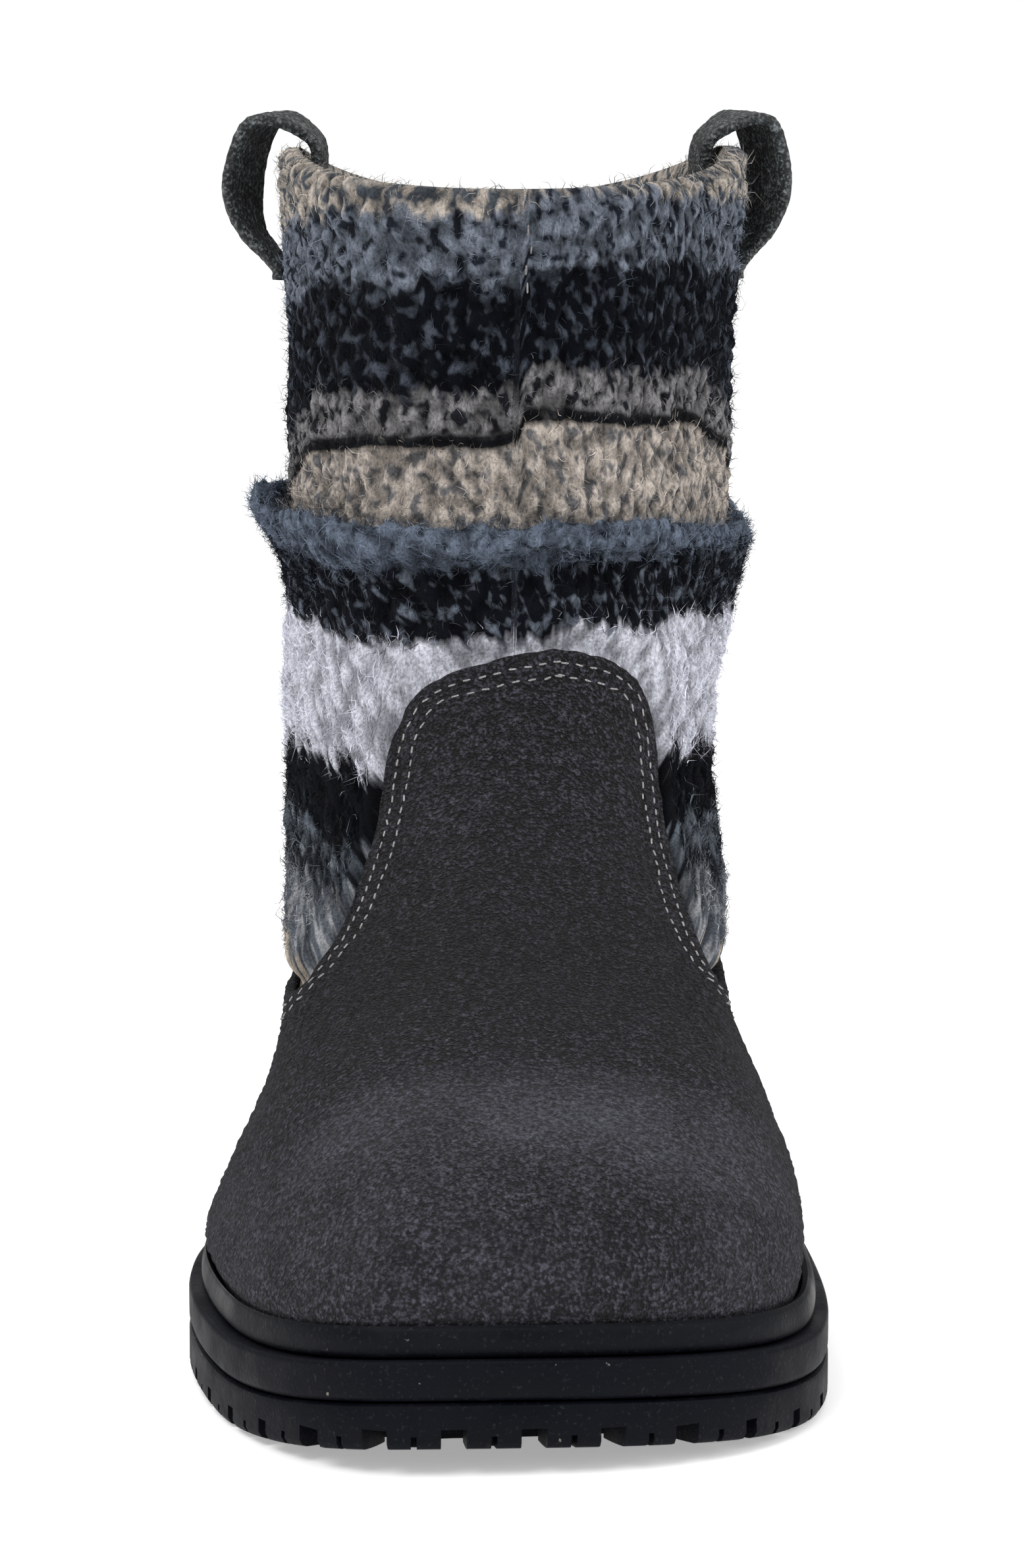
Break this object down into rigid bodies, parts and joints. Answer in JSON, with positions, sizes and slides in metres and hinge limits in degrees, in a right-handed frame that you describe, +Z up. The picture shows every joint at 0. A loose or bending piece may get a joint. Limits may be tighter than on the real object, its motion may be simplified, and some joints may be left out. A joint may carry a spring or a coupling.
{
  "type": "ankle boot",
  "caption": "Left pull-on ankle boot: suede vamp and counter, slouched striped knit shaft with two pull loops, rubber welt, slab midsole and lug sole.",
  "frame": {"origin": "middle of the boot's bounding box in plan, on the floor", "axes": "-Y to the toe, +Y to the heel, +X to the outer side of the left foot, -X to the inner side, +Z up"},
  "size_m": [0.1098, 0.28, 0.1984],
  "materials": {
    "outsole": "matte black moulded rubber",
    "midsole": "matte black moulded rubber",
    "welt": "matte black rubber strip",
    "insole": "grey felt",
    "suede_upper": "dark grey suede",
    "knit_shaft": "brushed striped knit",
    "pull_loop_inner": "dark grey suede strap",
    "pull_loop_outer": "dark grey suede strap"
  },
  "bodies": {
    "root": {"outsole": "outsole", "midsole": "midsole", "welt": "welt", "insole": "insole", "suede_upper": "suede_upper", "knit_shaft": "knit_shaft", "pull_loop_inner": "pull_loop_inner", "pull_loop_outer": "pull_loop_outer"}
  },
  "joints": []
}
